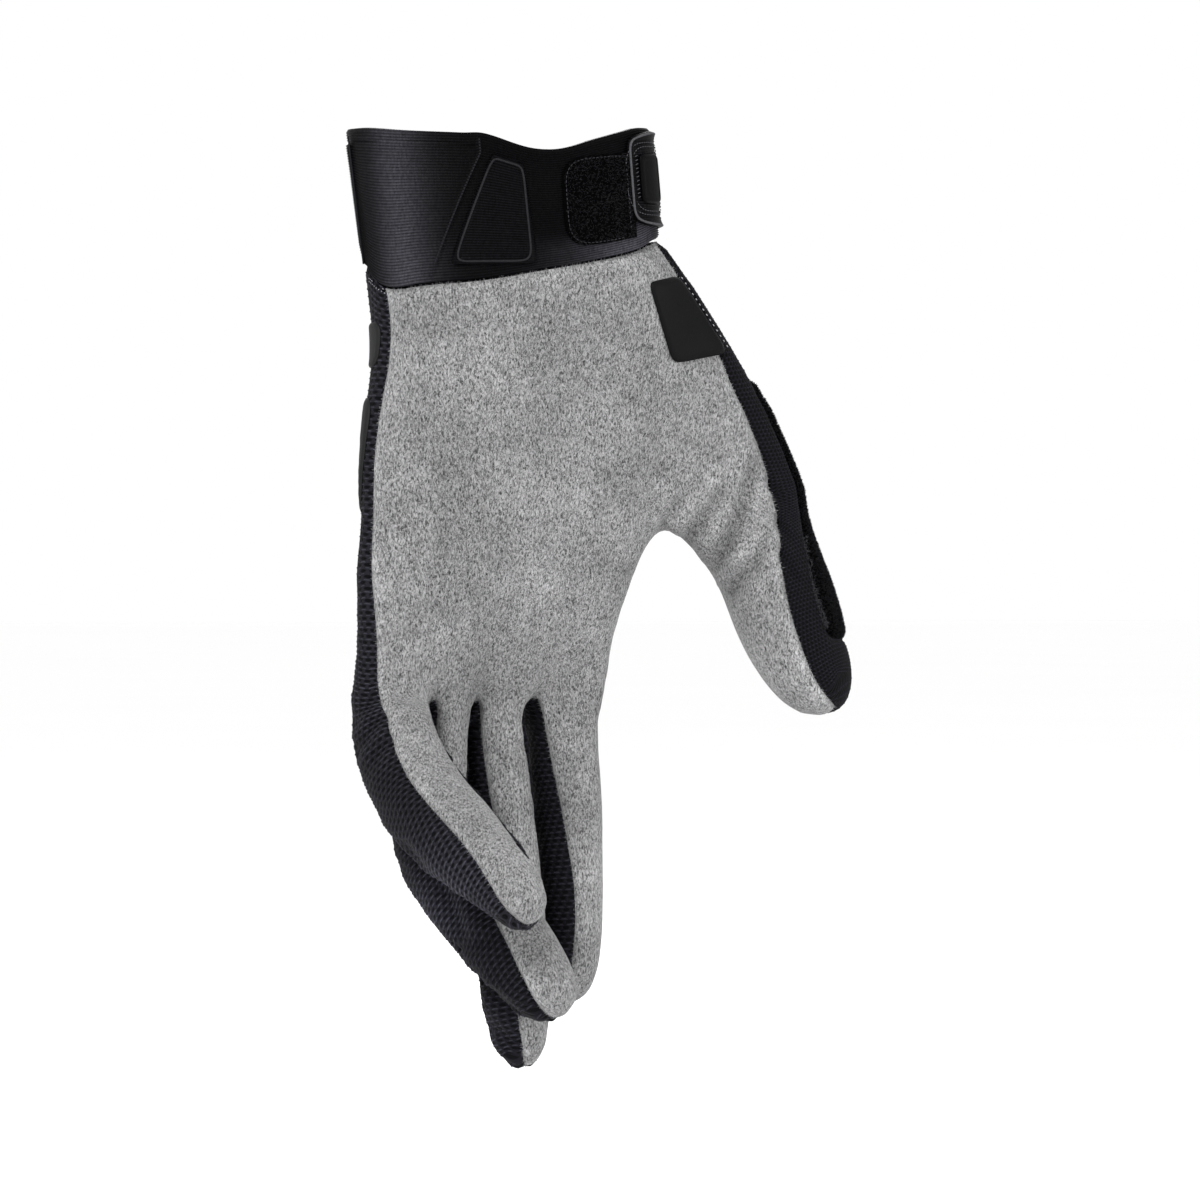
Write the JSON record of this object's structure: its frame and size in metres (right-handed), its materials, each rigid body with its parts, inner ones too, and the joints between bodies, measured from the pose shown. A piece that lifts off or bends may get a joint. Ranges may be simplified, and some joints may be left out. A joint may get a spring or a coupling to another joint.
{
  "type": "mountain bike glove",
  "caption": "Full-finger cycling glove for the left hand, worn shape, with suede palm, knit back, terry thumb and a closure strap on the cuff.",
  "frame": {"origin": "middle of the cuff's mouth", "axes": "+Z out of the cuff's mouth, so the fingers hang towards -Z; the palm faces -Y; the thumb is on the +X side"},
  "size_m": [0.1337, 0.0804, 0.2397],
  "materials": {
    "palm_suede": "fine matt nap",
    "mesh_knit": "open knit, matt",
    "terry": "looped pile",
    "ribbed_stretch": "ribbed, slight sheen",
    "loop_pile": "fuzzy",
    "soft_rubber": "satin"
  },
  "bodies": {
    "root": {"palm_panel": "palm_suede", "back_panel": "mesh_knit", "gusset_little_ring": "mesh_knit", "gusset_ring_middle": "mesh_knit", "gusset_middle_index": "mesh_knit", "thumb_back_panel": "mesh_knit", "thumb_wipe": "terry", "cuff": "ribbed_stretch", "cuff_pull_panel": "ribbed_stretch", "loop_patch": "loop_pile", "closure_strap": "ribbed_stretch", "strap_badge": "soft_rubber", "heel_label": "soft_rubber", "side_guard_upper": "soft_rubber", "side_guard_lower": "soft_rubber"}
  },
  "joints": []
}
